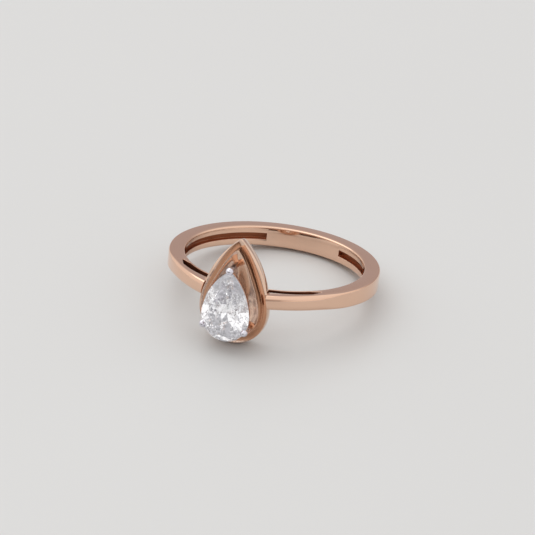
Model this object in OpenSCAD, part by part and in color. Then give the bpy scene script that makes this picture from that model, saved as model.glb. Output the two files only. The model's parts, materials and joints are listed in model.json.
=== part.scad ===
// Solitaire ring with a pear-cut stone in a stepped pear-shaped frame.
// The ring is drawn upright about its finger hole, with the finger axis along Z
// and the setting towards -Y, then tipped into the pose in which it lies on a table.

/* [Finger hole and band] */
// Radius of the finger hole
finger_r = 8.3; // [7:0.1:11]
// Radial thickness of the band
band_t = 1.48; // [1.2:0.02:2.2]
// Width of the band at the back
back_w = 1.98; // [1.6:0.02:3]
// Width of the band where it meets the setting
head_w = 1.31; // [1.1:0.01:2]
// Radius of the shoulders' outer curve
shoulder_r = 13.5; // [11:0.5:20]
// Angle from the setting at which the shoulders leave the band's round
shoulder_from = 57; // [45:1:70]
// Width of the bevels along the shoulders
bevel_w = 0.3; // [0.1:0.01:0.5]
// Angle about the shoulder's own centre at which its bevels stop
bevel_to = 50; // [35:1:60]

/* [Hollows in the band] */
// Width of the two long pockets in the finger side
pocket_w = 0.62; // [0.4:0.01:0.9]
// Depth of the pockets
pocket_depth = 0.55; // [0.2:0.05:0.8]
// Angle from the setting at which a pocket starts
pocket_from = 62; // [60:1:80]
// Angle from the setting at which a pocket ends
pocket_to = 154; // [120:1:165]
// Thickness of the lip between the finger hole and a shoulder slot
slot_lip = 0.26; // [0.2:0.02:0.5]
// Radial width of a shoulder slot
slot_w = 0.68; // [0.3:0.02:0.8]
// Angle from the setting at which the slot's straight sides end
slot_to = 43; // [30:1:46]
// Angle taken by the slot's pointed end
slot_point = 7; // [3:1:10]

/* [Setting frame] */
// Half the width of the frame
frame_r = 3.31; // [3:0.05:4.2]
// Height of the frame's tip above the centre of its round end
frame_tip = 6.52; // [5.8:0.05:8]
// Angle at which the sides leave the round end
belly_deg = 5; // [1:1:8]
// Distance of the round end's centre below the band's middle plane
frame_drop = 1.25; // [0.8:0.05:1.8]
// Height of the outer ridge above the finger hole
ridge_lift = 1.44; // [1.2:0.02:2.2]
// Width of the bevel outside the outer ridge
ridge_bevel = 0.2; // [0.05:0.01:0.3]
// Width of the narrow flat on top of the outer ridge
ridge_land = 0.05; // [0.02:0.01:0.1]
// How far the outer wall draws in halfway to its rear edge
flank_inset = 0.12; // [0:0.01:0.25]
// How far the outer wall draws in at its rear edge
rear_inset = 0.52; // [0.25:0.01:0.6]
// Thickness of the outer tier at its seat
tier_t = 1.05; // [0.9:0.05:1.3]
// Depth of the outer tier from ridge to rear edge
tier_depth = 1.79; // [1.4:0.05:2]
// Clearance between the finger and the scooped rear edge of the frame
scoop_gap = 0.2; // [0.2:0.05:0.5]
// Depth of the seat below the outer ridge
seat_drop = 0.29; // [0.1:0.01:0.4]
// Inset of the upper tier's ridge from the outer ridge
upper_inset = 0.65; // [0.5:0.05:0.8]
// Height of the upper ridge above the outer ridge
upper_rise = 0.59; // [0.3:0.01:0.9]
// Width of the bevel along the inside of the upper ridge
lip_w = 0.27; // [0.1:0.01:0.4]
// Fall of that bevel
lip_fall = 0.16; // [0.05:0.01:0.3]
// Inset of the bowl's inner edge from the outer ridge
bowl_inset = 2.65; // [2.3:0.05:2.8]
// Depth of the bowl below the upper ridge
bowl_depth = 1.1; // [0.8:0.02:1.2]
// Depth of the upper tier's skirt inside the outer tier
skirt_depth = 0.4; // [0.2:0.05:0.5]

/* [Stone] */
// Half the width of the stone
stone_r = 2.27; // [2:0.05:2.4]
// Height of the stone's point above the centre of its round end
stone_tip = 4.34; // [3.8:0.05:4.5]
// Angle at which the stone's sides leave its round end
stone_deg = 2; // [0.5:0.5:5]
// Distance of the stone's centre below the frame's centre
stone_drop = 0.29; // [0.1:0.01:0.5]
// Height of the girdle above the outer ridge
stone_lift = 1.82; // [1.7:0.02:2.4]
// Thickness of the girdle
girdle_t = 0.1; // [0.06:0.01:0.15]
// Height of the crown above the girdle
crown_h = 0.68; // [0.5:0.01:0.8]
// Distance of the table's edge inside the girdle
table_inset = 0.95; // [0.8:0.01:1.1]
// Depth of the pavilion below the girdle
pavilion_h = 1.95; // [1.7:0.05:2.1]

/* [Basket] */
// Diameter of a claw wire
claw_d = 0.52; // [0.4:0.02:0.6]
// Diameter of the bead at the end of a claw
bead_d = 0.72; // [0.56:0.02:0.8]
// Angle below the horizontal of the two lower claws
claw_deg = 28; // [15:1:45]
// Distance of a claw's axis outside the girdle
claw_out = 0.18; // [0.12:0.01:0.24]
// Inset of the base rail from the outer ridge
base_inset = 1.45; // [1.2:0.05:1.6]
// Width of the two rails
rail_w = 0.45; // [0.35:0.05:0.55]
// Thickness of the upper rail, on which the stone seats
rail_t = 0.36; // [0.25:0.01:0.45]
// Thickness of the base rail
base_t = 0.33; // [0.2:0.01:0.35]
// Width of the bridge under the setting, along the finger
bridge_w = 1; // [0.8:0.05:1.2]

/* [Hidden] */

$fn = 96;
girdle_steps = 14;      // points along each part of the stone's outline
past = 0.5;             // how far a cutter runs past what it cuts

rose_gold = "#d9a088";
white_gold = "#dcdcd8";
stone_white = "#e8eef2";

band_r = finger_r + band_t;
half_w_mid = (back_w + head_w) / 4;
half_w_slope = (back_w - head_w) / (4 * band_r);
shoulder_centre = (band_r - shoulder_r) * [sin(shoulder_from), -cos(shoulder_from), 0];

ridge_z = finger_r + ridge_lift;
rear_z = ridge_z - tier_depth;
seat_z = ridge_z - seat_drop;
edge_z = ridge_z - ridge_bevel;
flank_z = (rear_z + edge_z) / 2;
upper_z = ridge_z + upper_rise;
bowl_z = upper_z - bowl_depth;
skirt_z = seat_z - skirt_depth;
girdle_z = ridge_z + stone_lift;
base_z = skirt_z - base_t;

frame_pear = [frame_r, frame_tip, belly_deg];
stone_pear = [stone_r, stone_tip, stone_deg];

// The lowest points of the round end and of the band's back edge rest on the table
lean = atan((frame_r + frame_drop - back_w / 2) / (edge_z + band_r));

// A pear is a round end of radius r, and two side arcs that leave it at an angle
// and meet at the tip. All its insets share the same three centres.
function arm_run(p) = (p[1] * p[1] - p[0] * p[0]) / (2 * (p[0] - p[1] * sin(p[2])));
function arm_centre(p) = -arm_run(p) * [cos(p[2]), sin(p[2])];
function arm_radius(p) = arm_run(p) + p[0];
function tip_angle(p, inset) = acos(-arm_centre(p)[0] / (arm_radius(p) - inset));
function tip_height(p, inset) =
    arm_centre(p)[1] + (arm_radius(p) - inset) * sin(tip_angle(p, inset));

function arc(centre, r, from, to, steps) =
    [for (i = [0:steps]) let (a = from + (to - from) * i / steps) centre + r * [cos(a), sin(a)]];
function right_side(p, inset) = concat(
    arc([0, 0], p[0] - inset, -90, p[2], girdle_steps),
    arc(arm_centre(p), arm_radius(p) - inset, p[2], tip_angle(p, inset), girdle_steps));
function pear_outline(p, inset) = let (right = right_side(p, inset), last = len(right) - 1)
    concat(right, [for (i = [last - 1:-1:1]) [-right[i][0], right[i][1]]]);

// Where a claw crosses the girdle's level, seen along the setting's axis
function claw_place(angle) = (stone_r + claw_out) * [cos(angle), -sin(angle)] - [0, stone_drop];

module resting() { rotate([-lean, 0, 0]) children(); }
module at_setting() { translate([0, 0, -frame_drop]) rotate([90, 0, 0]) children(); }
module at_stone() { translate([0, -stone_drop, 0]) children(); }

// A section, given as [inset, height] points, carried round a pear
module pear_ring(p, section) {
    rotate([0, 0, -180 - p[2]])
        rotate_extrude(angle = 180 + 2 * p[2])
            polygon([for (s = section) [p[0] - s[0], s[1]]]);
    pear_arm(p, [for (s = section) [arm_radius(p) - s[0], s[1]]]);
    mirror([1, 0, 0])
        pear_arm(p, [for (s = section) [arm_radius(p) - s[0], s[1]]]);
}

// A solid pear whose wall passes through the [inset, height] points
module pear_solid(p, wall) {
    low = wall[0][1];
    high = wall[len(wall) - 1][1];
    inner = -arm_centre(p)[0] - past;
    rotate([0, 0, -180 - p[2]])
        rotate_extrude(angle = 180 + 2 * p[2])
            polygon(concat([[0, low]], [for (s = wall) [p[0] - s[0], s[1]]], [[0, high]]));
    pear_arm(p, concat([[inner, low]], [for (s = wall) [arm_radius(p) - s[0], s[1]]], [[inner, high]]));
    mirror([1, 0, 0])
        pear_arm(p, concat([[inner, low]], [for (s = wall) [arm_radius(p) - s[0], s[1]]], [[inner, high]]));
}

// One side arc of a pear, mitred on the plane of the tip
module pear_arm(p, profile) {
    reach = 2 * p[1];
    intersection() {
        translate(arm_centre(p))
            rotate([0, 0, p[2]])
                rotate_extrude(angle = 90 - p[2])
                    polygon(profile);
        translate([0, -reach, 0])
            cube([reach, 2 * reach, 2 * band_r]);
    }
}

module finger_cylinder(extra) {
    cylinder(r = finger_r + extra, h = 4 * frame_tip, center = true);
}

function around(r, angle) = r * [sin(angle), -cos(angle)];

// Round band with shoulders on a wider curve that run up to the setting
module band_body() {
    cylinder(r = band_r, h = 2 * back_w, center = true);
    shoulder_body();
    mirror([1, 0, 0]) shoulder_body();
}

module shoulder_body() {
    reach = 2 * band_r;
    intersection() {
        translate(shoulder_centre)
            cylinder(r = shoulder_r, h = 2 * back_w, center = true);
        linear_extrude(height = 2 * back_w, center = true)
            polygon([[0, 0], around(reach, shoulder_from), around(reach, 0)]);
    }
}

// The space between the two side faces, which close in towards the setting
module between_faces() {
    reach = 2 * band_r;
    near = half_w_mid - half_w_slope * reach;
    far = half_w_mid + half_w_slope * reach;
    rotate([90, 0, 90])
        linear_extrude(height = 2 * reach, center = true)
            polygon([[-reach, -near], [reach, -far], [reach, far], [-reach, near]]);
}

// Cutter for the two bevels of one shoulder
module shoulder_bevels() {
    edge = shoulder_r + head_w / 2 - bevel_w;
    translate(shoulder_centre)
        for (side = [0, 1])
            mirror([0, 0, side])
                rotate([0, 0, -90])
                    rotate_extrude(angle = bevel_to)
                        polygon([[edge - back_w, back_w], [edge + past, -past], [edge + past, back_w]]);
}

module pocket() {
    rotate([0, 0, pocket_from - 90])
        rotate_extrude(angle = pocket_to - pocket_from)
            translate([finger_r - past, -pocket_w / 2])
                square([pocket_depth + past, pocket_w]);
}

// Slot through a shoulder, from the setting to a pointed end
module shoulder_slot() {
    inner = finger_r + slot_lip;
    tip = around(inner + slot_w / 2, slot_to + slot_point);
    inner_slope = around(inner, slot_to) - tip;
    outer_slope = around(inner + slot_w, slot_to) - tip;
    intersection() {
        rotate([0, 0, -90])
            rotate_extrude(angle = slot_to + 2 * slot_point)
                translate([inner, -back_w])
                    square([slot_w, 2 * back_w]);
        linear_extrude(height = 3 * back_w, center = true)
            polygon([tip, tip + 2 * inner_slope, [-past, 0], [-past, -2 * band_r], tip + 3 * outer_slope]);
    }
}

module shank() {
    color(rose_gold)
        resting()
            difference() {
                intersection() {
                    band_body();
                    between_faces();
                }
                finger_cylinder(0);
                shoulder_bevels();
                mirror([1, 0, 0]) shoulder_bevels();
                pocket();
                mirror([1, 0, 0]) pocket();
                shoulder_slot();
                mirror([1, 0, 0]) shoulder_slot();
                at_setting()
                    pear_solid(frame_pear, [[rear_inset, rear_z - tier_depth], [rear_inset, rear_z],
                        [flank_inset, flank_z], [0, edge_z], [0, ridge_z + stone_lift]]);
            }
}

// Bar under the setting that closes the finger hole between the two shoulders
module finger_bridge() {
    color(rose_gold)
        resting()
            difference() {
                intersection() {
                    at_setting()
                        pear_solid(frame_pear, [[tier_t, rear_z - past], [tier_t, base_z]]);
                    cube([4 * frame_r, 4 * band_r, bridge_w], center = true);
                }
                finger_cylinder(0);
            }
}

// Outer tier: a rounded wall up to a bevelled ridge, then a slope down to a flat seat
module outer_tier() {
    color(rose_gold)
        resting()
            difference() {
                at_setting()
                    pear_ring(frame_pear, [[rear_inset, rear_z], [flank_inset, flank_z], [0, edge_z],
                        [ridge_bevel, ridge_z], [ridge_bevel + ridge_land, ridge_z],
                        [upper_inset - 0.1, seat_z], [tier_t, seat_z], [tier_t, rear_z]]);
                finger_cylinder(scoop_gap);
            }
}

// Upper tier: its own ridge and a bowl that falls towards the stone, with a skirt inside the outer tier
module upper_tier() {
    color(rose_gold)
        resting()
            at_setting()
                difference() {
                    pear_ring(frame_pear, [[upper_inset - 0.1, seat_z], [upper_inset, upper_z],
                        [upper_inset + lip_w, upper_z - lip_fall], [bowl_inset, bowl_z],
                        [bowl_inset, skirt_z], [tier_t, skirt_z], [tier_t, seat_z]]);
                    tip_claw_wire();
                    lower_claw_wire();
                    mirror([1, 0, 0]) lower_claw_wire();
                }
}

// Wire on which the claws stand, between the bridge and the upper tier
module base_rail() {
    color(rose_gold)
        resting()
            at_setting()
                pear_ring(frame_pear, [[base_inset, base_z], [base_inset, skirt_z],
                    [base_inset + rail_w, skirt_z], [base_inset + rail_w, base_z]]);
}

// Wire under the girdle, cut to the stone and notched for the claws
module seat_rail() {
    top = girdle_z - 0.44;
    color(rose_gold)
        resting()
            at_setting()
                difference() {
                    at_stone()
                        pear_ring(stone_pear, [[0, top - rail_t], [0, top], [rail_w, top], [rail_w, top - rail_t]]);
                    stone();
                    tip_claw_wire();
                    lower_claw_wire();
                    mirror([1, 0, 0]) lower_claw_wire();
                }
}

// Straight wire between two points
module wire(from, to, d) {
    run = to - from;
    translate(from)
        rotate([0, acos(run[2] / norm(run)), atan2(run[1], run[0])])
            cylinder(d = d, h = norm(run));
}

module lower_claw_wire() {
    foot_r = frame_r - base_inset - rail_w / 2;
    place = claw_place(claw_deg);
    foot = foot_r * [cos(claw_deg), -sin(claw_deg)];
    wire([foot[0], foot[1], skirt_z], [place[0], place[1], girdle_z], claw_d);
}

module tip_claw_wire() {
    y = tip_height(stone_pear, 0) - stone_drop + claw_out;
    wire([0, y, skirt_z], [0, y, girdle_z], claw_d);
}

// Bead that closes over the edge of the stone
module bead(place) {
    translate([place[0], place[1], girdle_z])
        sphere(d = claw_d);
    over = place - claw_out * (place + [0, stone_drop]) / norm(place + [0, stone_drop]);
    translate([over[0], over[1], girdle_z + bead_d / 3])
        sphere(d = bead_d);
}

module right_claw() {
    color(white_gold)
        resting()
            at_setting()
                difference() {
                    union() {
                        trimmed_foot() lower_claw_wire();
                        bead(claw_place(claw_deg));
                    }
                    stone();
                }
}

module left_claw() {
    color(white_gold)
        resting()
            at_setting()
                mirror([1, 0, 0])
                    difference() {
                        union() {
                            trimmed_foot() lower_claw_wire();
                            bead(claw_place(claw_deg));
                        }
                        stone();
                    }
}

module tip_claw() {
    color(white_gold)
        resting()
            at_setting()
                difference() {
                    union() {
                        tip_claw_wire();
                        bead([0, tip_height(stone_pear, 0) - stone_drop + claw_out]);
                    }
                    stone();
                }
}

// A leaning wire's foot, cut flat where it stands on the base rail
module trimmed_foot() {
    intersection() {
        children();
        translate([-2 * frame_r, -2 * frame_r, skirt_z])
            cube([4 * frame_r, 4 * frame_r, 2 * stone_lift]);
    }
}

// Pear-cut stone: table, crown, girdle and pavilion
module stone() {
    at_stone()
        hull() {
            translate([0, 0, girdle_z - girdle_t / 2])
                linear_extrude(height = girdle_t)
                    polygon(pear_outline(stone_pear, 0));
            translate([0, 0, girdle_z + girdle_t / 2 + crown_h - girdle_t])
                linear_extrude(height = girdle_t)
                    polygon(pear_outline(stone_pear, table_inset));
            translate([0, 0, girdle_z - girdle_t / 2 - pavilion_h])
                cylinder(r = girdle_t / 2, h = girdle_t, $fn = 16);
        }
}

module diamond() {
    color(stone_white)
        resting()
            at_setting()
                stone();
}

shank();
finger_bridge();
outer_tier();
upper_tier();
base_rail();
seat_rail();
tip_claw();
left_claw();
right_claw();
diamond();
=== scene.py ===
import json
import math

import bmesh
import bpy
from mathutils import Matrix, Vector


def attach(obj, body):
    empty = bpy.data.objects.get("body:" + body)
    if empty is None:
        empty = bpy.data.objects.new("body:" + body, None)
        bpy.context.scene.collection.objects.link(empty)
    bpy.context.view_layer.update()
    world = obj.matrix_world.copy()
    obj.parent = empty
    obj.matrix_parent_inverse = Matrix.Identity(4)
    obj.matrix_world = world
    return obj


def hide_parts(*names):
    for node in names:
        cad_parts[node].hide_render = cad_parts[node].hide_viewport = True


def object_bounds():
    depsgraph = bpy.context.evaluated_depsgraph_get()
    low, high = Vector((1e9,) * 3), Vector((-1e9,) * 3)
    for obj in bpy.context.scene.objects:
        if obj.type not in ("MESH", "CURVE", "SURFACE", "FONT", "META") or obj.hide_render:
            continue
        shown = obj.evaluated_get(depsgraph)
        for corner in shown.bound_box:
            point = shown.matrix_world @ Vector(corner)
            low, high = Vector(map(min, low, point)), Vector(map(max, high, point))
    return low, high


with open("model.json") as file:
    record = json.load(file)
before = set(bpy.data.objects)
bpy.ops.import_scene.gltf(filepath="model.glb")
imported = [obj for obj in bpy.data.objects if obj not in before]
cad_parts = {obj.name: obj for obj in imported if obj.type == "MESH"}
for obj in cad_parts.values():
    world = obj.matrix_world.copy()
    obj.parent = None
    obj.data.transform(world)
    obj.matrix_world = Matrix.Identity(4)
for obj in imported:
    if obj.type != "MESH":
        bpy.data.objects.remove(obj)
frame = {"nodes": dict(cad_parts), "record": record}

mm = 0.001
# millimetres: points nearer than weld become one, edges shorter than sliver go
weld = 0.002
sliver = 0.001
tiny = 1e-6
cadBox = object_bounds()
print("frame loaded:", sorted(frame["nodes"]))

fingerAxis = Vector(frame["record"]["mounts"][0]["axis"])
lean = math.atan2(fingerAxis.y, fingerAxis.z)
layDown = Matrix.Rotation(-lean, 4, "X")


def link(tree, source, target):
    if isinstance(source, bpy.types.NodeSocket):
        tree.links.new(source, target)
    elif source is not None:
        target.default_value = source


def calc(tree, operation, *values):
    node = tree.nodes.new("ShaderNodeMath")
    node.operation = operation
    for socket, value in zip(node.inputs, values):
        link(tree, value, socket)
    return node.outputs[0]


def addNode(tree, kind, inputs=None, **settings):
    node = tree.nodes.new(kind)
    for key, value in settings.items():
        setattr(node, key, value)
    for key, value in (inputs or {}).items():
        link(tree, value, node.inputs[key])
    return node


def mix(tree, factor, first, second):
    # blends two colours; each is a colour or another node's output
    node = tree.nodes.new("ShaderNodeMix")
    node.data_type = "RGBA"
    link(tree, factor, node.inputs[0])
    for socket, color in ((node.inputs[6], first), (node.inputs[7], second)):
        link(tree, color if isinstance(color, bpy.types.NodeSocket) else (*color, 1), socket)
    return node.outputs[2]


def ramp(tree, value, between, low=0.0, high=1.0, shape="LINEAR"):
    start, end = between
    node = addNode(tree, "ShaderNodeMapRange", {"Value": value, "From Min": start, "From Max": end,
                                                "To Min": low, "To Max": high}, interpolation_type=shape)
    return node.outputs[0]


def newGeometryTree(name, inputs):
    tree = bpy.data.node_groups.new(name, "GeometryNodeTree")
    tree.interface.new_socket("Geometry", in_out="INPUT", socket_type="NodeSocketGeometry")
    tree.interface.new_socket("Geometry", in_out="OUTPUT", socket_type="NodeSocketGeometry")
    for label, kind, value in inputs:
        socket = tree.interface.new_socket(label, in_out="INPUT", socket_type="NodeSocket" + kind)
        if value is not None:
            socket.default_value = value
    return tree, tree.nodes.new("NodeGroupInput").outputs, tree.nodes.new("NodeGroupOutput").inputs


def socketId(tree, label):
    for item in tree.interface.items_tree:
        if item.in_out == "INPUT" and item.name == label:
            return item.identifier


def newObject(name, mesh):
    obj = bpy.data.objects.new(name, mesh)
    bpy.context.scene.collection.objects.link(obj)
    return obj


def grown(name, startMesh, tree, settings):
    # runs a geometry tree on a start mesh and keeps the plain result
    obj = newObject(name + "Start", startMesh)
    modifier = obj.modifiers.new("grow", "NODES")
    modifier.node_group = tree
    for label, value in settings.items():
        modifier[socketId(tree, label)] = value
    return settle(obj, name)


def settle(obj, name):
    bpy.context.view_layer.update()
    depsgraph = bpy.context.evaluated_depsgraph_get()
    mesh = bpy.data.meshes.new_from_object(obj.evaluated_get(depsgraph), preserve_all_data_layers=True,
                                           depsgraph=depsgraph)
    obj.modifiers.clear()
    bpy.data.objects.remove(obj)
    mesh.name = name
    return newObject(name, mesh)


rounding = {"angle": 28, "segments": 3}


def soften(obj, width, weighted=False):
    # small round on every edge, then flat faces kept flat
    bevel = obj.modifiers.new("soft", "BEVEL")
    bevel.width = width * mm
    bevel.segments = rounding["segments"]
    bevel.limit_method = "WEIGHT" if weighted else "ANGLE"
    bevel.angle_limit = math.radians(rounding["angle"])
    bevel.miter_outer = "MITER_ARC"
    normals = obj.modifiers.new("flat", "WEIGHTED_NORMAL")
    normals.mode = "FACE_AREA"
    normals.weight = 100
    normals.keep_sharp = True
    return settle(obj, obj.name)


def smooth(obj):
    obj.data.polygons.foreach_set("use_smooth", [True] * len(obj.data.polygons))


def newMaterial(name):
    material = bpy.data.materials.new(name)
    material.use_nodes = True
    tree = material.node_tree
    tree.nodes.clear()
    output = tree.nodes.new("ShaderNodeOutputMaterial")
    shader = tree.nodes.new("ShaderNodeBsdfPrincipled")
    tree.links.new(shader.outputs[0], output.inputs[0])
    return material, tree, shader


metals = {
    "roseGold": {"light": (0.83, 0.56, 0.418), "dark": (0.79, 0.52, 0.382), "roughness": 0.07},
    "headGold": {"light": (0.79, 0.575, 0.45), "dark": (0.75, 0.535, 0.412), "roughness": 0.08},
    "bowlGold": {"light": (0.75, 0.54, 0.42), "dark": (0.70, 0.50, 0.382), "roughness": 0.15},
    # near-black copy of the gold: painted shade for the slot walls and pocket floors
    "paintedShadeGold": {"light": (0.30, 0.11, 0.055), "dark": (0.20, 0.07, 0.035), "roughness": 0.38,
                 "scratch": 0.8, "grain": 0.5},
    "whiteGold": {"light": (0.78, 0.76, 0.82), "dark": (0.66, 0.64, 0.71), "roughness": 0.03},
}

polish = {
    "cloudScale": 260.0, "markScale": (900.0, 900.0, 9000.0), "markDepth": 0.002, "markRange": (0.3, 0.7),
    "glossiest": 0.75, "dullest": 1.3,
}


def polishedMetal(name, light, dark, roughness, scratch=0.35, grain=1.0):
    # colour drifts a little over the piece; fine polishing marks break up the gloss
    material, tree, shader = newMaterial(name)
    place = addNode(tree, "ShaderNodeTexCoord").outputs["Object"]
    drift = addNode(tree, "ShaderNodeTexNoise", {"Vector": place, "Scale": polish["cloudScale"],
                                                 "Detail": 3.0})
    tree.links.new(mix(tree, drift.outputs["Fac"], light, dark), shader.inputs["Base Color"])
    stretch = addNode(tree, "ShaderNodeMapping", {"Vector": place, "Scale": polish["markScale"]})
    marks = addNode(tree, "ShaderNodeTexNoise", {"Vector": stretch.outputs[0], "Scale": grain, "Detail": 4.0})
    rough = ramp(tree, marks.outputs["Fac"], polish["markRange"],
                 roughness * polish["glossiest"], roughness * polish["dullest"])
    tree.links.new(rough, shader.inputs["Roughness"])
    bump = addNode(tree, "ShaderNodeBump", {"Height": marks.outputs["Fac"], "Strength": scratch,
                                            "Distance": polish["markDepth"] * mm})
    tree.links.new(bump.outputs[0], shader.inputs["Normal"])
    shader.inputs["Metallic"].default_value = 1.0
    return material


roseGold, headGold, bowlGold, paintedShadeGold, whiteGold = (
    polishedMetal(name, **look) for name, look in metals.items())


sparkle = {
    "cellScale": 3400.0, "glow": 0.12, "glowColor": (0.96, 0.94, 1.0), "cellTilt": 0.07,
    "hazeScale": 900.0, "haze": 0.02, "body": (0.985, 0.99, 1.0), "refraction": 2.417,
}


def cutStone():
    # clear body; small cells, each a little lit and tilted, stand for the light that many facets throw back
    material, tree, shader = newMaterial("cutStone")
    place = addNode(tree, "ShaderNodeTexCoord").outputs["Object"]
    cells = addNode(tree, "ShaderNodeTexVoronoi", {"Vector": place, "Scale": sparkle["cellScale"],
                                                   "Randomness": 1.0})
    value = addNode(tree, "ShaderNodeSeparateColor", {"Color": cells.outputs["Color"]})
    glow = ramp(tree, value.outputs[0], (0.0, 1.0), high=sparkle["glow"])
    tree.links.new(glow, shader.inputs["Emission Strength"])
    shader.inputs["Emission Color"].default_value = (*sparkle["glowColor"], 1)
    offCentre = addNode(tree, "ShaderNodeVectorMath", {0: cells.outputs["Color"], 1: (0.5, 0.5, 0.5)},
                        operation="SUBTRACT")
    small = addNode(tree, "ShaderNodeVectorMath", {0: offCentre.outputs[0], "Scale": sparkle["cellTilt"]},
                    operation="SCALE")
    flat = tree.nodes.new("ShaderNodeNewGeometry").outputs["Normal"]
    tilted = addNode(tree, "ShaderNodeVectorMath", {0: flat, 1: small.outputs[0]}, operation="ADD")
    unit = addNode(tree, "ShaderNodeVectorMath", {0: tilted.outputs[0]}, operation="NORMALIZE")
    tree.links.new(unit.outputs[0], shader.inputs["Normal"])
    haze = addNode(tree, "ShaderNodeTexNoise", {"Vector": place, "Scale": sparkle["hazeScale"],
                                                "Detail": 2.0})
    rough = ramp(tree, haze.outputs["Fac"], (0.0, 1.0), high=sparkle["haze"])
    tree.links.new(rough, shader.inputs["Roughness"])
    shader.inputs["Base Color"].default_value = (*sparkle["body"], 1)
    shader.inputs["Transmission Weight"].default_value = 1.0
    shader.inputs["IOR"].default_value = sparkle["refraction"]
    return material


clearStone = cutStone()
print("finishes made")


head = {
    "radius": 3.29, "tip": 6.60, "belly": 5, "drop": 1.25, "blunt": 0.09, "waist": 0.19,
    "ridge": 9.74, "ridgeBevel": 0.2, "ridgeLand": 0.04, "rear": 7.95, "rearInset": 0.52,
    "wallCurve": 2.1, "wallSteps": 7, "thickness": 1.05, "scoop": 8.5,
    "seat": 9.45, "seatLedge": 0.1, "sunk": 0.02, "skirtGap": 0.02, "skirt": 9.05,
    "upper": 10.33, "upperInset": 0.65, "upperFoot": 0.08, "lipWidth": 0.27, "lipFall": 0.16,
    "bowlInset": 2.65, "bowl": 9.23, "columns": 110, "softRidge": 0.032, "mergeWithin": 0.0015,
}

band = {
    "hole": 8.3, "outer": 9.78, "backWidth": 1.98, "headWidth": 1.31,
    "shoulderRadius": 13.5, "shoulderFrom": 57, "columnsFrom": 24, "intoWall": 0.04,
    "endNear": 20.0, "endBetween": (5.0, 40.0), "endTries": 30,
    "edgeRound": 0.3, "edgeRoundBack": 0.11, "edgeReach": 1.7, "edgeFade": (44, 64), "edgeSteps": 8,
    "pocketHalf": 0.31, "pocketDepth": 0.55, "pocketFrom": 62, "pocketTo": 154,
    "slotLip": 0.26, "slotWidth": 0.68, "slotTo": 43, "slotPoint": 7, "paintedShadeNear": 0.02,
    "softWidth": 0.14, "softFrom": 25, "softSlot": 0.3, "softFinger": 1.0, "softPocket": 0.2,
}

# the setting's own axes: X to the right, Y towards the point, Z away from the finger
toSetting = (layDown @ Matrix.Translation((0, 0, -head["drop"] * mm))
             @ Matrix.Rotation(math.radians(90), 4, "X"))


def pearArm(pear):
    belly = math.radians(pear["belly"])
    run = (pear["tip"] ** 2 - pear["radius"] ** 2) / (2 * (pear["radius"] - pear["tip"] * math.sin(belly)))
    centre = Vector((-run * math.cos(belly), -run * math.sin(belly)))
    return centre, run + pear["radius"]


def pearHalfWidth(pear, y, inset):
    centre, radius = pearArm(pear)
    if y < (pear["radius"] - inset) * math.sin(math.radians(pear["belly"])):
        return math.sqrt(max(0, (pear["radius"] - inset) ** 2 - y * y))
    return centre.x + math.sqrt(max(0, (radius - inset) ** 2 - (y - centre.y) ** 2))


def around(radius, degrees, z=0.0):
    angle = math.radians(degrees)
    return Vector((radius * math.sin(angle), -radius * math.cos(angle), z))


def bandRadius(degrees):
    # round at the back, on a wider curve along the shoulder
    if degrees >= band["shoulderFrom"]:
        return band["outer"]
    gap = band["shoulderRadius"] - band["outer"]
    turn = math.cos(math.radians(band["shoulderFrom"] - degrees))
    return -gap * turn + math.sqrt((gap * turn) ** 2 - gap ** 2 + band["shoulderRadius"] ** 2)


def edgeRound(degrees):
    # wide round along the shoulder's edges, fading towards the back
    low, high = band["edgeFade"]
    share = min(1, max(0, (degrees - low) / (high - low)))
    share = share * share * (3 - 2 * share)
    return band["edgeRound"] + (band["edgeRoundBack"] - band["edgeRound"]) * share


def halfWidth(radius, degrees):
    middle = (band["backWidth"] + band["headWidth"]) / 4
    slope = (band["backWidth"] - band["headWidth"]) / (4 * band["outer"])
    return middle - slope * radius * math.cos(math.radians(degrees))


def slotEdges(degrees):
    inner = band["hole"] + band["slotLip"]
    outer = inner + band["slotWidth"]
    middle = (inner + outer) / 2
    share = min(1, max(0, (degrees - band["slotTo"]) / band["slotPoint"]))
    return inner + (middle - inner) * share, outer + (middle - outer) * share


def wallInset(height):
    # how far the setting's rounded outer wall draws in at a height, from the ridge's edge to the rear
    edge = head["ridge"] - head["ridgeBevel"]
    depth = (edge - height) / (edge - head["rear"])
    return head["rearInset"] * max(0.0, min(1.0, depth)) ** head["wallCurve"]


def endAngle(radius, z):
    # where the setting's outer wall stops the band, a touch inside it
    def outside(degrees):
        inset = wallInset(radius * math.cos(math.radians(degrees))) + band["intoWall"]
        return radius * math.sin(math.radians(degrees)) - pearHalfWidth(head, z + head["drop"], inset)
    low, high = band["endBetween"]
    for _ in range(band["endTries"]):
        mid = (low + high) / 2
        low, high = (low, mid) if outside(mid) > 0 else (mid, high)
    return high


def bandColumn(degrees, pocketOpen):
    # (radius, z, softness) down one half of the section from its outer edge, then down the other half
    outer = bandRadius(degrees)
    turn = edgeRound(degrees)
    slotInner, slotOuter = slotEdges(degrees)
    floor = band["hole"] + (band["pocketDepth"] if pocketOpen else 0)
    pocket = band["pocketHalf"]
    half = []
    side = halfWidth(outer, degrees)
    for i in range(band["edgeSteps"] + 1):
        angle = math.pi / 2 * i / band["edgeSteps"]
        half.append((outer - turn + turn * math.cos(angle),
                     side - turn * band["edgeReach"] * (1 - math.sin(angle)), 0.0))
    half += [(slotOuter, halfWidth(slotOuter, degrees), band["softSlot"]),
             (slotInner, halfWidth(slotInner, degrees), band["softSlot"]),
             (band["hole"], halfWidth(band["hole"], degrees), band["softFinger"]),
             (band["hole"], pocket, band["softPocket"]), (floor, pocket, band["softPocket"])]
    return half + [(radius, -z, weight) for radius, z, weight in half]


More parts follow.
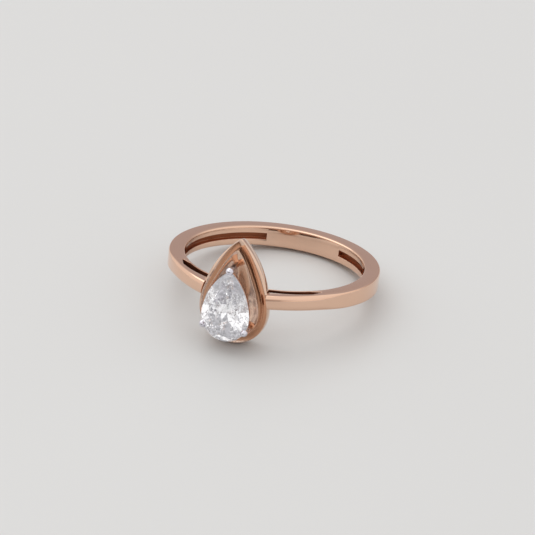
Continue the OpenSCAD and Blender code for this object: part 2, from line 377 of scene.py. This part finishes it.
def buildBand():
    mesh = bpy.data.meshes.new("band")
    bm = bmesh.new()
    soft = bm.verts.layers.float.new("softness")
    slotEnd = band["slotTo"] + band["slotPoint"]
    stops = {band["slotTo"], slotEnd, band["pocketFrom"], band["pocketTo"]}
    columns = []
    # no angle stands for the end, which follows the setting's wall
    for degrees in [None, *sorted(stops | set(range(band["columnsFrom"], 181)))]:
        for pocketOpen in (False, True):
            inPocket = degrees is not None and band["pocketFrom"] <= degrees <= band["pocketTo"]
            onEnd = degrees in (band["pocketFrom"], band["pocketTo"])
            if pocketOpen != inPocket and not onEnd:
                continue
            rows = bandColumn(degrees if degrees is not None else band["endNear"], pocketOpen)
            verts = []
            for radius, z, weight in rows:
                angle = degrees if degrees is not None else endAngle(radius, z)
                if degrees is None and radius > slotEdges(band["endNear"])[1]:
                    radius += bandRadius(angle) - bandRadius(band["endNear"])
                vert = bm.verts.new(around(radius, angle, z) * mm)
                vert[soft] = weight
                verts.append(vert)
            columns.append((degrees, pocketOpen, verts))
    # the pocket's end walls need the closed column first at its start and last at its end
    columns.sort(key=lambda c: (-1 if c[0] is None else c[0], c[1] if c[0] != band["pocketTo"] else not c[1]))
    first = columns[0][2]
    half = len(first) // 2
    last = band["edgeSteps"]
    ring = list(range(half)) + list(range(2 * half - 1, half - 1, -1))
    gaps = [{last + 1, last + 2}, {half + last + 1, half + last + 2}]
    for (degrees, _, a), (_, _, b) in zip(columns, columns[1:]):
        slotHere = degrees is None or degrees < slotEnd
        for i, j in zip(ring, ring[1:] + ring[:1]):
            if slotHere and {i, j} in gaps:
                continue
            addFace(bm, (a[i], a[j], b[j], b[i]))
        if slotHere:
            k = last + 1
            addFace(bm, (a[half + k], a[k], b[k], b[half + k]))
            addFace(bm, (a[k + 1], a[half + k + 1], b[half + k + 1], b[k + 1]))
    outside = [*range(last + 2), *range(half + last + 1, half - 1, -1)]
    inside = [*range(last + 2, half), *range(2 * half - 1, half + last + 1, -1)]
    for cap in (outside, inside):
        addFace(bm, [first[k] for k in reversed(cap)])
    for vert in columns[-1][2]:
        vert.co.x = 0
    copy = bmesh.ops.duplicate(bm, geom=bm.verts[:] + bm.edges[:] + bm.faces[:])["geom"]
    twins = [g for g in copy if isinstance(g, bmesh.types.BMVert)]
    for vert in twins:
        vert.co.x = -vert.co.x
    bmesh.ops.reverse_faces(bm, faces=[g for g in copy if isinstance(g, bmesh.types.BMFace)])
    bmesh.ops.remove_doubles(bm, verts=bm.verts, dist=weld * mm)
    bmesh.ops.dissolve_degenerate(bm, edges=bm.edges, dist=sliver * mm)
    bmesh.ops.recalc_face_normals(bm, faces=bm.faces)
    weights = bm.edges.layers.float.new("bevel_weight_edge")
    for edge in bm.edges:
        if len(edge.link_faces) == 2 and edge.calc_face_angle() > math.radians(band["softFrom"]):
            edge[weights] = min(edge.verts[0][soft], edge.verts[1][soft])
            edge.smooth = edge[weights] > 0
    openEdges = [e for e in bm.edges if len(e.link_faces) != 2]
    print("band: faces", len(bm.faces), "open edges", len(openEdges))
    near = band["paintedShadeNear"]
    floor = band["hole"] + band["pocketDepth"]
    slotInner, slotOuter = slotEdges(0)
    # slot walls and pocket floors take the second, dark finish, which is painted shade in these recesses
    for face in bm.faces:
        face.smooth = True
        centre = face.calc_center_median() / mm
        reach = math.hypot(centre.x, centre.y)
        angle = abs(math.degrees(math.atan2(centre.x, -centre.y)))
        inPocket = abs(reach - floor) < near and abs(centre.z) < band["pocketHalf"] - near
        inSlot = abs(face.normal.z) < 0.5 and slotInner - near < reach < slotOuter + near and angle < slotEnd
        face.material_index = 1 if inSlot or inPocket else 0
    bmesh.ops.transform(bm, matrix=layDown, verts=bm.verts)
    bm.to_mesh(mesh)
    bm.free()
    obj = newObject("band", mesh)
    mesh.materials.append(roseGold)
    mesh.materials.append(paintedShadeGold)
    return soften(obj, band["softWidth"], weighted=True)


def addFace(bm, verts):
    unique = []
    for vert in verts:
        if vert not in unique:
            unique.append(vert)
    if len(unique) > 2:
        bm.faces.new(unique)


bandPiece = buildBand()
print("band built:", len(bandPiece.data.polygons), "faces")


def makePearTree():
    # each row of a grid takes an inset and a height from the start mesh, and runs up one side of the pear
    tree, given, result = newGeometryTree("pearRing", [
        ("Round Radius", "Float", 3.3 * mm), ("Tip Height", "Float", 6.5 * mm), ("Side Angle", "Float", 0.09),
        ("Columns", "Int", 100), ("Round Share", "Float", 0.45), ("Scoop Radius", "Float", 0.0),
        ("Tip Round", "Float", 0.0), ("Turn", "Float", 0.0), ("Place", "Vector", None),
        ("Finish", "Material", None)])
    r, h, side = given["Round Radius"], given["Tip Height"], given["Side Angle"]
    profile = given["Geometry"]
    rowCount = addNode(tree, "GeometryNodeAttributeDomainSize", {"Geometry": profile}).outputs["Point Count"]
    rowsAndOne = calc(tree, "ADD", rowCount, 1)
    grid = addNode(tree, "GeometryNodeMeshGrid", {"Vertices X": given["Columns"]})
    tree.links.new(rowsAndOne, grid.inputs["Vertices Y"])
    index = tree.nodes.new("GeometryNodeInputIndex").outputs[0]
    row = calc(tree, "MODULO", calc(tree, "MODULO", index, rowsAndOne), rowCount)
    column = calc(tree, "FLOOR", calc(tree, "DIVIDE", calc(tree, "ADD", index, 0.5), rowsAndOne))
    t = calc(tree, "DIVIDE", column, calc(tree, "SUBTRACT", given["Columns"], 1))
    place = tree.nodes.new("GeometryNodeInputPosition").outputs[0]
    sample = addNode(tree, "GeometryNodeSampleIndex", {"Geometry": profile}, data_type="FLOAT_VECTOR")
    tree.links.new(place, sample.inputs["Value"])
    tree.links.new(row, sample.inputs["Index"])
    split = addNode(tree, "ShaderNodeSeparateXYZ", {0: sample.outputs[0]})
    height, waist = split.outputs[1], split.outputs[2]
    share = given["Round Share"]
    half = math.pi / 2
    roundT = calc(tree, "DIVIDE", t, share)
    armT = calc(tree, "DIVIDE", calc(tree, "SUBTRACT", t, share), calc(tree, "SUBTRACT", 1, share))
    onArm = calc(tree, "GREATER_THAN", t, share)
    # a ridge draws in along the sides and comes back to its place at the tip
    swing = calc(tree, "MULTIPLY", calc(tree, "MULTIPLY", onArm, armT), math.pi)
    swell = calc(tree, "POWER", calc(tree, "SINE", swing), 2)
    inset = calc(tree, "ADD", split.outputs[0], calc(tree, "MULTIPLY", waist, swell))
    sinSide, cosSide = calc(tree, "SINE", side), calc(tree, "COSINE", side)
    over = calc(tree, "SUBTRACT", calc(tree, "MULTIPLY", h, h), calc(tree, "MULTIPLY", r, r))
    under = calc(tree, "MULTIPLY", 2, calc(tree, "SUBTRACT", r, calc(tree, "MULTIPLY", h, sinSide)))
    run = calc(tree, "DIVIDE", over, under)
    armRadius = calc(tree, "SUBTRACT", calc(tree, "ADD", run, r), inset)
    armX = calc(tree, "MULTIPLY", run, cosSide)
    armY = calc(tree, "MULTIPLY", run, sinSide)
    tipAngle = calc(tree, "ARCCOSINE", calc(tree, "DIVIDE", armX, armRadius))
    roundAngle = calc(tree, "SUBTRACT", calc(tree, "MULTIPLY", calc(tree, "ADD", side, half), roundT), half)
    armAngle = calc(tree, "ADD", side, calc(tree, "MULTIPLY", calc(tree, "SUBTRACT", tipAngle, side), armT))
    roundRadius = calc(tree, "SUBTRACT", r, inset)

    def pick(onRound, beyond):
        step = calc(tree, "MULTIPLY", onArm, calc(tree, "SUBTRACT", beyond, onRound))
        return calc(tree, "ADD", onRound, step)

    x = pick(calc(tree, "MULTIPLY", roundRadius, calc(tree, "COSINE", roundAngle)),
             calc(tree, "SUBTRACT", calc(tree, "MULTIPLY", armRadius, calc(tree, "COSINE", armAngle)), armX))
    y = pick(calc(tree, "MULTIPLY", roundRadius, calc(tree, "SINE", roundAngle)),
             calc(tree, "SUBTRACT", calc(tree, "MULTIPLY", armRadius, calc(tree, "SINE", armAngle)), armY))
    # the point is a little blunt
    blunt = given["Tip Round"]
    squares = calc(tree, "ADD", calc(tree, "MULTIPLY", x, x), calc(tree, "MULTIPLY", blunt, blunt))
    spread = calc(tree, "SQRT", squares)
    steepness = calc(tree, "DIVIDE", calc(tree, "COSINE", tipAngle), calc(tree, "SINE", tipAngle))
    fall = calc(tree, "MULTIPLY", calc(tree, "MULTIPLY", onArm, steepness), calc(tree, "SUBTRACT", spread, x))
    y = calc(tree, "SUBTRACT", y, fall)
    # nothing of the ring reaches into the finger hole's clearance
    room = calc(tree, "SUBTRACT", calc(tree, "POWER", given["Scoop Radius"], 2), calc(tree, "MULTIPLY", x, x))
    clear = calc(tree, "SQRT", calc(tree, "MAXIMUM", 0, room))
    z = calc(tree, "MAXIMUM", height, clear)
    moved = addNode(tree, "ShaderNodeCombineXYZ", {0: x, 1: y, 2: z})
    shaped = addNode(tree, "GeometryNodeSetPosition", {"Geometry": grid.outputs[0],
                                                       "Position": moved.outputs[0]})
    mirrored = addNode(tree, "GeometryNodeTransform", {"Geometry": shaped.outputs[0], "Scale": (-1, 1, 1)})
    flipped = addNode(tree, "GeometryNodeFlipFaces", {"Mesh": mirrored.outputs[0]})
    joined = tree.nodes.new("GeometryNodeJoinGeometry")
    tree.links.new(shaped.outputs[0], joined.inputs[0])
    tree.links.new(flipped.outputs[0], joined.inputs[0])
    merged = addNode(tree, "GeometryNodeMergeByDistance", {"Geometry": joined.outputs[0],
                                                           "Distance": head["mergeWithin"] * mm})
    turn = addNode(tree, "ShaderNodeCombineXYZ", {0: given["Turn"]})
    laid = addNode(tree, "GeometryNodeTransform", {"Geometry": merged.outputs[0], "Rotation": turn.outputs[0],
                                                   "Translation": given["Place"]})
    rounded = addNode(tree, "GeometryNodeSetShadeSmooth", {"Geometry": laid.outputs[0]})
    real = addNode(tree, "GeometryNodeRealizeInstances", {"Geometry": rounded.outputs[0]})
    painted = addNode(tree, "GeometryNodeSetMaterial", {"Geometry": real.outputs[0],
                                                        "Material": given["Finish"]})
    tree.links.new(painted.outputs[0], result["Geometry"])
    return tree


pearTree = makePearTree()


def pearPiece(name, pear, section, finish, scoop=0.0, shift=0.0, width=head["softRidge"], blunt=0.0):
    # section: (inset, height) corners, anticlockwise with the inset to the right; a third value is the waist
    corners = [(*corner, 0.0)[:3] for corner in section]
    mesh = bpy.data.meshes.new(name + "Section")
    mesh.from_pydata([tuple(value * mm for value in corner) for corner in corners], [], [])
    columns = head["columns"]
    belly = math.radians(pear["belly"])
    centre, armRadius = pearArm(pear)
    roundLength = pear["radius"] * (math.pi / 2 + belly)
    armLength = armRadius * (math.acos(-centre.x / armRadius) - belly)
    share = round(roundLength / (roundLength + armLength) * (columns - 1)) / (columns - 1)
    obj = grown(name, mesh, pearTree, {
        "Round Radius": pear["radius"] * mm, "Tip Height": pear["tip"] * mm, "Side Angle": belly,
        "Columns": columns, "Round Share": share, "Scoop Radius": scoop * mm, "Tip Round": blunt * mm,
        "Turn": math.pi / 2 - lean, "Place": toSetting @ Vector((0, -shift * mm, 0)), "Finish": finish})
    bm = bmesh.new()
    bm.from_mesh(obj.data)
    bmesh.ops.dissolve_degenerate(bm, edges=bm.edges, dist=sliver * mm)
    bmesh.ops.recalc_face_normals(bm, faces=bm.faces)
    openEdges = len([e for e in bm.edges if len(e.link_faces) != 2])
    bm.to_mesh(obj.data)
    bm.free()
    print(name, "faces", len(obj.data.polygons), "open edges", openEdges)
    return soften(obj, width)


baseWire = {"inset": 1.45, "width": 0.45, "low": 8.72, "soft": 0.08}

gem = {
    "radius": 2.27, "tip": 4.34, "belly": 2, "drop": 0.29, "girdle": 11.56, "girdleThickness": 0.1,
    "crown": 0.65, "tableInset": 0.95, "pavilion": 1.95, "culetShift": 0.35, "starTilt": 21,
    "lowerHalf": 0.24, "mains": 4, "outlineSteps": 40, "blockBelow": 3, "blockAbove": 1,
}

seatWire = {
    "outer": 0.22, "inner": 0.45, "lip": 0.3, "low": 10.76, "slope": 10.9, "high": 11.05, "soft": 0.08,
}

waist = head["waist"]
wallHeight = head["ridge"] - head["ridgeBevel"] - head["rear"]
heights = [head["rear"] + wallHeight * i / head["wallSteps"] for i in range(head["wallSteps"] + 1)]
outerSection = [(wallInset(height), height) for height in reversed(heights)] + [
    (head["thickness"], head["rear"]), (head["thickness"], head["seat"]),
    (head["upperInset"] - head["seatLedge"], head["seat"], waist), (head["ridgeLand"], head["ridge"], waist)]
footHeight = head["seat"] - head["sunk"]
skirtInset = head["thickness"] + head["skirtGap"]
upperSection = [(head["upperInset"] - head["upperFoot"], footHeight, waist), (skirtInset, footHeight),
                (skirtInset, head["skirt"]), (head["bowlInset"], head["skirt"]),
                (head["bowlInset"], head["bowl"]),
                (head["upperInset"] + head["lipWidth"], head["upper"] - head["lipFall"], waist),
                (head["upperInset"], head["upper"], waist)]
baseSection = [(baseWire["inset"], baseWire["low"]), (baseWire["inset"] + baseWire["width"], baseWire["low"]),
               (baseWire["inset"] + baseWire["width"], head["skirt"]), (baseWire["inset"], head["skirt"])]
seatSection = [(seatWire["outer"], seatWire["low"]), (seatWire["inner"], seatWire["low"]),
               (seatWire["inner"], seatWire["slope"]), (seatWire["lip"], seatWire["high"]),
               (seatWire["outer"], seatWire["high"])]
outerTier = pearPiece("outerTier", head, outerSection, headGold, scoop=head["scoop"], blunt=head["blunt"])
upperTier = pearPiece("upperTier", head, upperSection, bowlGold, blunt=head["blunt"])
baseRail = pearPiece("baseRail", head, baseSection, roseGold, width=baseWire["soft"])
seatRail = pearPiece("seatRail", gem, seatSection, roseGold, shift=gem["drop"], width=seatWire["soft"])


bar = {"half": 0.5, "reach": 2.28, "steps": 40, "soft": 0.1}


def buildBridge():
    half, reach, steps = bar["half"], bar["reach"], bar["steps"]
    top = baseWire["low"]
    bm = bmesh.new()
    across = [reach - 2 * reach * i / steps for i in range(steps + 1)]
    curve = [Vector((x, math.sqrt(band["hole"] ** 2 - x * x))) for x in across]
    loops = []
    for z in (-half, half):
        loops.append([bm.verts.new(Vector((v.x, -v.y, z)) * mm) for v in curve]
                     + [bm.verts.new(Vector((x, -top, z)) * mm) for x in (-reach, reach)])
    low, high = loops
    count = len(low)
    bm.faces.new(low)
    bm.faces.new(high[::-1])
    for i in range(count):
        j = (i + 1) % count
        bm.faces.new((low[i], high[i], high[j], low[j]))
    bmesh.ops.recalc_face_normals(bm, faces=bm.faces)
    bmesh.ops.transform(bm, matrix=layDown, verts=bm.verts)
    mesh = bpy.data.meshes.new("bridge")
    bm.to_mesh(mesh)
    bm.free()
    mesh.materials.append(roseGold)
    obj = newObject("bridge", mesh)
    smooth(obj)
    return soften(obj, bar["soft"])


bridge = buildBridge()
print("tiers, rails and bridge built")


claw = {
    "wire": 0.26, "bead": 0.365, "neck": 0.12, "angle": 28, "out": 0.18, "bendOut": 0.07, "bendRise": 0.18,
    "reach": 0.198, "rise": 0.45, "points": 72, "sides": 28, "curve": 64, "platedFrom": 0.56,
}


def makeClawTree():
    # a wire along a curve, swelling into a bead at its end
    tree, given, result = newGeometryTree("clawWire", [
        ("Foot", "Vector", None), ("Bend", "Vector", None), ("End", "Vector", None),
        ("Wire Radius", "Float", 0.26 * mm), ("Bead Radius", "Float", 0.33 * mm),
        ("Points", "Int", 60), ("Sides", "Int", 24), ("Plated From", "Float", 0.6),
        ("Wire Finish", "Material", None), ("Bead Finish", "Material", None)])
    curve = addNode(tree, "GeometryNodeCurveQuadraticBezier", {
        "Resolution": claw["curve"], "Start": given["Foot"], "Middle": given["Bend"], "End": given["End"]})
    even = addNode(tree, "GeometryNodeResampleCurve", {"Curve": curve.outputs[0], "Count": given["Points"]})
    along = tree.nodes.new("GeometryNodeSplineParameter")
    length = tree.nodes.new("GeometryNodeSplineLength").outputs["Length"]
    left = calc(tree, "MULTIPLY", calc(tree, "SUBTRACT", 1, along.outputs["Factor"]), length)
    bead, wire = given["Bead Radius"], given["Wire Radius"]
    off = calc(tree, "SUBTRACT", left, bead)
    room = calc(tree, "SUBTRACT", calc(tree, "MULTIPLY", bead, bead), calc(tree, "MULTIPLY", off, off))
    ball = calc(tree, "SQRT", calc(tree, "MAXIMUM", 0, room))
    neck = calc(tree, "SMOOTH_MAX", wire, ball, claw["neck"] * mm)
    beyond = calc(tree, "GREATER_THAN", off, 0)
    radius = calc(tree, "ADD", ball, calc(tree, "MULTIPLY", beyond, calc(tree, "SUBTRACT", neck, ball)))
    sized = addNode(tree, "GeometryNodeSetCurveRadius", {"Curve": even.outputs[0], "Radius": radius})
    stored = addNode(tree, "GeometryNodeStoreNamedAttribute", {"Geometry": sized.outputs[0], "Name": "along"},
                     data_type="FLOAT", domain="POINT")
    tree.links.new(along.outputs["Factor"], stored.inputs["Value"])
    circle = addNode(tree, "GeometryNodeCurvePrimitiveCircle", {"Resolution": given["Sides"], "Radius": 1.0})
    tube = addNode(tree, "GeometryNodeCurveToMesh", {
        "Curve": stored.outputs[0], "Profile Curve": circle.outputs[0], "Fill Caps": True})
    if "Scale" in tube.inputs:
        tree.links.new(radius, tube.inputs["Scale"])
    merged = addNode(tree, "GeometryNodeMergeByDistance", {"Geometry": tube.outputs[0],
                                                           "Distance": sliver * mm})
    rounded = addNode(tree, "GeometryNodeSetShadeSmooth", {"Geometry": merged.outputs[0]})
    real = addNode(tree, "GeometryNodeRealizeInstances", {"Geometry": rounded.outputs[0]})
    wirePaint = addNode(tree, "GeometryNodeSetMaterial", {"Geometry": real.outputs[0],
                                                          "Material": given["Wire Finish"]})
    named = addNode(tree, "GeometryNodeInputNamedAttribute", {"Name": "along"}, data_type="FLOAT")
    plated = calc(tree, "GREATER_THAN", named.outputs[0], given["Plated From"])
    beadPaint = addNode(tree, "GeometryNodeSetMaterial", {
        "Geometry": wirePaint.outputs[0], "Selection": plated, "Material": given["Bead Finish"]})
    tree.links.new(beadPaint.outputs[0], result["Geometry"])
    return tree


clawTree = makeClawTree()


def buildClaw(name, side):
    # side 0 is the claw at the stone's point, 1 and -1 the two beside its round end
    if side:
        turn = math.radians(claw["angle"])
        direction = Vector((side * math.cos(turn), -math.sin(turn)))
        foot = direction * (head["radius"] - baseWire["inset"] - baseWire["width"] / 2)
        edge = direction * gem["radius"] - Vector((0, gem["drop"]))
    else:
        direction = Vector((0, 1))
        edge = Vector((0, gem["tip"] - gem["drop"]))
        foot = edge + direction * claw["out"]
    bend = edge + direction * (claw["out"] + claw["bendOut"])
    end = edge - direction * claw["reach"]
    points = [Vector((foot.x, foot.y, head["skirt"])),
              Vector((bend.x, bend.y, gem["girdle"] + claw["bendRise"])),
              Vector((end.x, end.y, gem["girdle"] + claw["rise"]))]
    placed = [toSetting @ (p * mm) for p in points]
    mesh = bpy.data.meshes.new(name + "Start")
    return grown(name, mesh, clawTree, {
        "Foot": placed[0], "Bend": placed[1], "End": placed[2], "Wire Radius": claw["wire"] * mm,
        "Bead Radius": claw["bead"] * mm, "Points": claw["points"], "Sides": claw["sides"],
        "Plated From": claw["platedFrom"], "Wire Finish": roseGold, "Bead Finish": whiteGold})


claws = {"tip_claw": buildClaw("tipClaw", 0), "left_claw": buildClaw("leftClaw", -1),
         "right_claw": buildClaw("rightClaw", 1)}
print("claws built:", [len(c.data.polygons) for c in claws.values()])


def gemEdge(share):
    # point and outward direction a share of the way from the round end to the point, on the right side
    centre, radius = pearArm(gem)
    belly = math.radians(gem["belly"])
    tip = math.acos(-centre.x / radius)
    roundLength = gem["radius"] * (math.pi / 2 + belly)
    total = roundLength + radius * (tip - belly)
    run = share * total
    if run <= roundLength:
        angle = run / gem["radius"] - math.pi / 2
        out = Vector((math.cos(angle), math.sin(angle)))
        return out * gem["radius"], out
    angle = belly + (run - roundLength) / radius
    out = Vector((math.cos(angle), math.sin(angle)))
    return centre + out * radius, out


def facetPlane(point, out, z, through):
    # plane that holds the edge line at a point and one further point
    a = Vector((point.x, point.y, z))
    along = Vector((-out.y, out.x, 0))
    normal = along.cross(through - a).normalized()
    if normal.dot(Vector((out.x, out.y, 0))) < 0:
        normal = -normal
    return a, normal


def meet(planes):
    rows = Matrix([p[1] for p in planes])
    return rows.inverted() @ Vector([p[1].dot(p[0]) for p in planes])


def gemPlanes():
    girdleTop = gem["girdle"] + gem["girdleThickness"] / 2
    girdleLow = gem["girdle"] - gem["girdleThickness"] / 2
    tableZ = girdleTop + gem["crown"]
    count = gem["mains"]
    culet = Vector((0, gem["culetShift"], girdleLow - gem["pavilion"]))
    tilt = math.radians(gem["starTilt"])
    mains = [gemEdge(k / count) for k in range(count)] + [(Vector((0, gem["tip"])), Vector((0, 1)))]
    stars = [gemEdge((k + 0.5) / count) for k in range(count)]
    starPlanes = []
    for point, out in stars:
        spot = point - out * gem["tableInset"]
        starPlanes.append((Vector((spot.x, spot.y, tableZ)),
                           Vector((out.x * math.sin(tilt), out.y * math.sin(tilt), math.cos(tilt)))))
    flip = Matrix.Diagonal((-1, 1, 1))
    top = (Vector((0, 0, tableZ)), Vector((0, 0, 1)))

    def flipped(plane):
        return flip @ plane[0], flip @ plane[1]

    crownMains, lowMains = [], []
    for k, (point, out) in enumerate(mains):
        before = starPlanes[k - 1] if k else flipped(starPlanes[0])
        after = starPlanes[k] if k < count else flipped(starPlanes[-1])
        crownMains.append(facetPlane(point, out, girdleTop, meet([before, after, top])))
        lowMains.append(facetPlane(point, out, girdleLow, culet))
    planes = [top] + starPlanes + crownMains + lowMains
    for k in range(count):
        apex = meet([crownMains[k], crownMains[k + 1], starPlanes[k]])
        corner = meet([lowMains[k], lowMains[k + 1], (Vector((0, 0, girdleLow)), Vector((0, 0, 1)))])
        lowApex = culet.lerp(corner, gem["lowerHalf"])
        for quarter in (0.25, 0.75):
            point, out = gemEdge((k + quarter) / count)
            planes.append(facetPlane(point, out, girdleTop, apex))
            planes.append(facetPlane(point, out, girdleLow, lowApex))
    return planes + [flipped(p) for p in planes if abs(p[1].x) > tiny], tableZ


def buildStone():
    planes, tableZ = gemPlanes()
    bm = bmesh.new()
    right = [gemEdge(i / gem["outlineSteps"])[0] for i in range(gem["outlineSteps"] + 1)]
    right[0].x = 0
    right[-1].x = 0
    outline = right + [Vector((-v.x, v.y)) for v in right[-2:0:-1]]
    low = [bm.verts.new((v.x, v.y, gem["girdle"] - gem["blockBelow"])) for v in outline]
    high = [bm.verts.new((v.x, v.y, tableZ + gem["blockAbove"])) for v in outline]
    bm.faces.new(low[::-1])
    bm.faces.new(high)
    for i in range(len(outline)):
        j = (i + 1) % len(outline)
        bm.faces.new((low[i], low[j], high[j], high[i]))
    for spot, normal in planes:
        bmesh.ops.bisect_plane(bm, geom=bm.verts[:] + bm.edges[:] + bm.faces[:], dist=tiny,
                               plane_co=spot, plane_no=normal, clear_outer=True)
        border = [e for e in bm.edges if len(e.link_faces) == 1]
        if border:
            bmesh.ops.edgeloop_fill(bm, edges=border)
    bmesh.ops.remove_doubles(bm, verts=bm.verts, dist=weld)
    bmesh.ops.dissolve_degenerate(bm, edges=bm.edges, dist=sliver)
    bmesh.ops.recalc_face_normals(bm, faces=bm.faces)
    openEdges = len([e for e in bm.edges if len(e.link_faces) != 2])
    print("stone: facets", len(bm.faces), "open edges", openEdges, "volume", round(bm.calc_volume(), 2))
    toPlace = toSetting @ Matrix.Scale(mm, 4) @ Matrix.Translation((0, -gem["drop"], 0))
    bmesh.ops.transform(bm, matrix=toPlace, verts=bm.verts)
    mesh = bpy.data.meshes.new("stone")
    bm.to_mesh(mesh)
    bm.free()
    mesh.materials.append(clearStone)
    return newObject("stone", mesh)


stone = buildStone()


studio = {
    "floorSize": 3.0, "floorColor": (0.65, 0.652, 0.648), "floorDarker": 0.985, "floorGrain": 40.0,
    "floorRoughness": 0.42, "floorSheen": 0.35,
    "front": (0.09, 0.065, 0.055), "behind": (0.48, 0.44, 0.45), "behindBetween": (-0.3, 0.4),
    "sides": (0.92, 0.89, 0.87), "sidesBetween": (0.45, 0.9),
    "overhead": (1.0, 0.99, 0.98), "overheadBetween": (0.22, 0.6),
    "keyPlace": (-0.5, 0.2, 0.9), "keySize": (1.2, 1.0), "keyPower": 3.0,
    "azimuth": 20.585, "elevation": 28.955, "roll": 3.073, "distance": 0.3,
    "lens": 219.23, "sensor": 36, "nearest": 0.01, "shift": (-0.01178, -0.0028),
}


def buildFloor():
    mesh = bpy.data.meshes.new("floor")
    half, z = studio["floorSize"] / 2, cadBox[0][2]
    mesh.from_pydata([(-half, -half, z), (half, -half, z), (half, half, z), (-half, half, z)], [],
                     [(0, 1, 2, 3)])
    floor = newObject("floor", mesh)
    material, tree, shader = newMaterial("floorCard")
    place = addNode(tree, "ShaderNodeTexCoord").outputs["Object"]
    grain = addNode(tree, "ShaderNodeTexNoise", {"Vector": place, "Scale": studio["floorGrain"],
                                                 "Detail": 3.0})
    darker = [value * studio["floorDarker"] for value in studio["floorColor"]]
    tree.links.new(mix(tree, grain.outputs["Fac"], studio["floorColor"], darker), shader.inputs["Base Color"])
    shader.inputs["Roughness"].default_value = studio["floorRoughness"]
    shader.inputs["Specular IOR Level"].default_value = studio["floorSheen"]
    mesh.materials.append(material)


def buildWorld():
    world = bpy.data.worlds.new("studioRoom")
    bpy.context.scene.world = world
    world.use_nodes = True
    tree = world.node_tree
    tree.nodes.clear()
    output = tree.nodes.new("ShaderNodeOutputWorld")
    background = tree.nodes.new("ShaderNodeBackground")
    tree.links.new(background.outputs[0], output.inputs[0])
    # dark in front, grey behind, bright at both sides and overhead, as between large diffusers
    place = addNode(tree, "ShaderNodeTexCoord").outputs["Generated"]
    ways = addNode(tree, "ShaderNodeSeparateXYZ", {0: place}).outputs
    away = ramp(tree, ways[1], studio["behindBetween"], shape="SMOOTHSTEP")
    aside = ramp(tree, calc(tree, "ABSOLUTE", ways[0]), studio["sidesBetween"], shape="SMOOTHSTEP")
    above = ramp(tree, ways[2], studio["overheadBetween"], shape="SMOOTHSTEP")
    across = mix(tree, away, studio["front"], studio["behind"])
    low = mix(tree, aside, across, studio["sides"])
    tree.links.new(mix(tree, above, low, studio["overhead"]), background.inputs["Color"])
    background.inputs["Strength"].default_value = 1.0


def buildKeyLight():
    data = bpy.data.lights.new("key", "AREA")
    data.shape = "RECTANGLE"
    data.size, data.size_y = studio["keySize"]
    data.energy = studio["keyPower"]
    light = bpy.data.objects.new("key", data)
    bpy.context.scene.collection.objects.link(light)
    light.location = studio["keyPlace"]
    light.rotation_euler = (-light.location).to_track_quat("-Z", "Y").to_euler()


def buildCamera():
    azimuth, elevation, roll = (math.radians(studio[k]) for k in ("azimuth", "elevation", "roll"))
    level = math.cos(elevation)
    back = Vector((math.sin(azimuth) * level, -math.cos(azimuth) * level, math.sin(elevation)))
    right = Vector((math.cos(azimuth), math.sin(azimuth), 0))
    up = back.cross(right)
    turnedRight = right * math.cos(roll) + up * math.sin(roll)
    turnedUp = up * math.cos(roll) - right * math.sin(roll)
    data = bpy.data.cameras.new("camera")
    data.lens = studio["lens"]
    data.sensor_width = studio["sensor"]
    data.clip_start = studio["nearest"]
    data.shift_x, data.shift_y = studio["shift"]
    camera = bpy.data.objects.new("camera", data)
    bpy.context.scene.collection.objects.link(camera)
    axes = Matrix((turnedRight, turnedUp, back)).transposed().to_4x4()
    camera.matrix_world = Matrix.Translation(back * studio["distance"]) @ axes
    bpy.context.scene.camera = camera


buildFloor()
buildWorld()
buildKeyLight()
buildCamera()
bpy.context.scene.view_settings.view_transform = "Standard"
print("studio ready")


pieces = [(bandPiece, ["shank"], "rose_gold"), (bridge, ["finger_bridge"], "rose_gold"),
          (outerTier, ["outer_tier"], "rose_gold"), (upperTier, ["upper_tier"], "rose_gold"),
          (baseRail, ["base_rail"], "rose_gold"), (seatRail, ["seat_rail"], "rose_gold"),
          (stone, ["diamond"], "stone")] + [(piece, [node], "white_gold") for node, piece in claws.items()]
for piece, nodes, slot in pieces:
    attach(piece, "root")
    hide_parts(*nodes)
